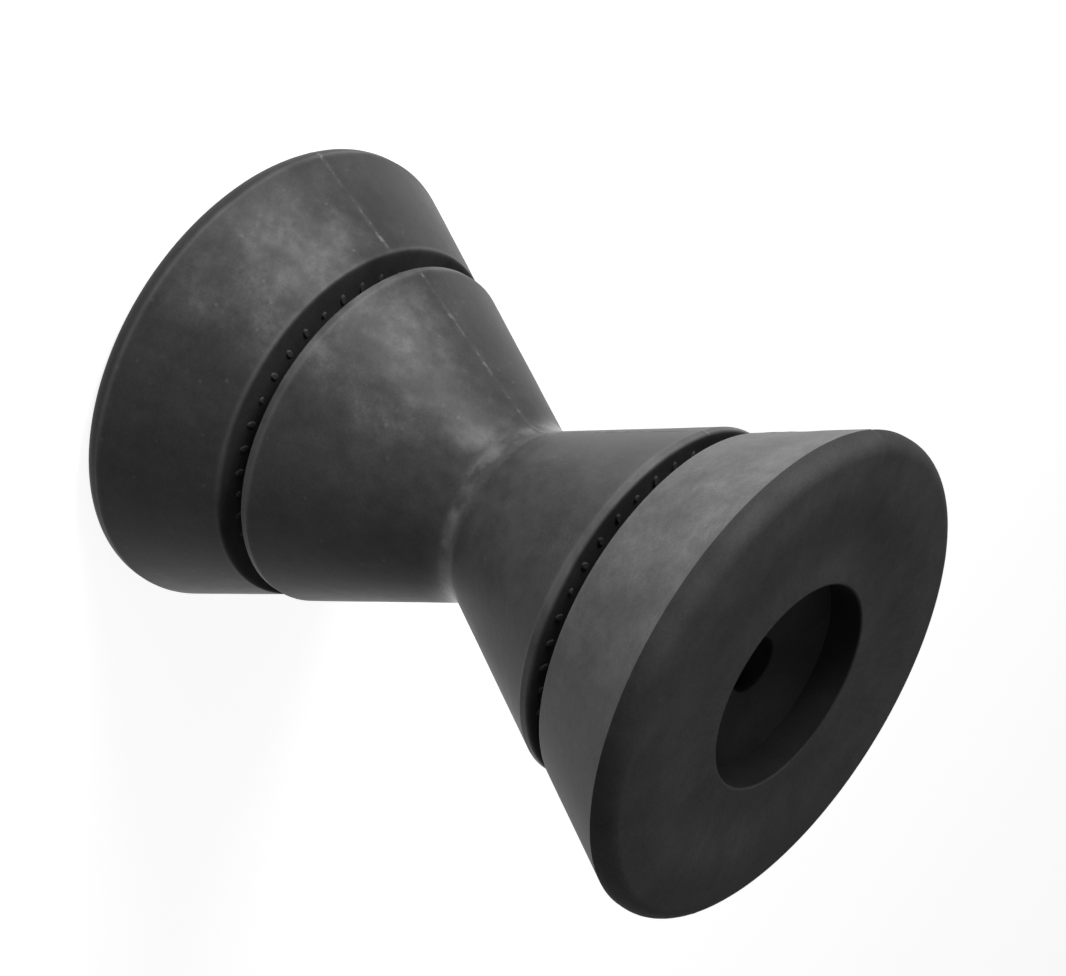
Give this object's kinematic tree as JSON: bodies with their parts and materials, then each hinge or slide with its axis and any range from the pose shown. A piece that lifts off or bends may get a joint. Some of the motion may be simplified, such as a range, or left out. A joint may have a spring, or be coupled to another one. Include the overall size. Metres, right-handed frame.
{
  "type": "boat trailer roller",
  "caption": "Waisted rubber boat trailer roller with flared end bells that turn separately on one shaft bore.",
  "frame": {"origin": "middle of the shaft bore, halfway between the two outer faces", "axes": "+Z along the shaft bore, from the lower end bell to the upper one; the roller stands on the flat face of its lower bell"},
  "size_m": [0.12, 0.12, 0.167],
  "materials": {
    "roller_rubber": "matt moulded black rubber with a faint bloom",
    "bell_rubber": "matt moulded black rubber with a faint bloom"
  },
  "bodies": {
    "roller": {"centre_roller": "roller_rubber"},
    "upper_bell": {"upper_end_bell": "bell_rubber"},
    "lower_bell": {"lower_end_bell": "bell_rubber"}
  },
  "joints": [
    {"name": "upper_bell_spin", "type": "hinge", "parent": "roller", "child": "upper_bell", "pos_m": [0, 0, 0.062], "axis": [0, 0, 1], "continuous": true},
    {"name": "lower_bell_spin", "type": "hinge", "parent": "roller", "child": "lower_bell", "pos_m": [0, 0, -0.062], "axis": [0, 0, 1], "continuous": true}
  ]
}
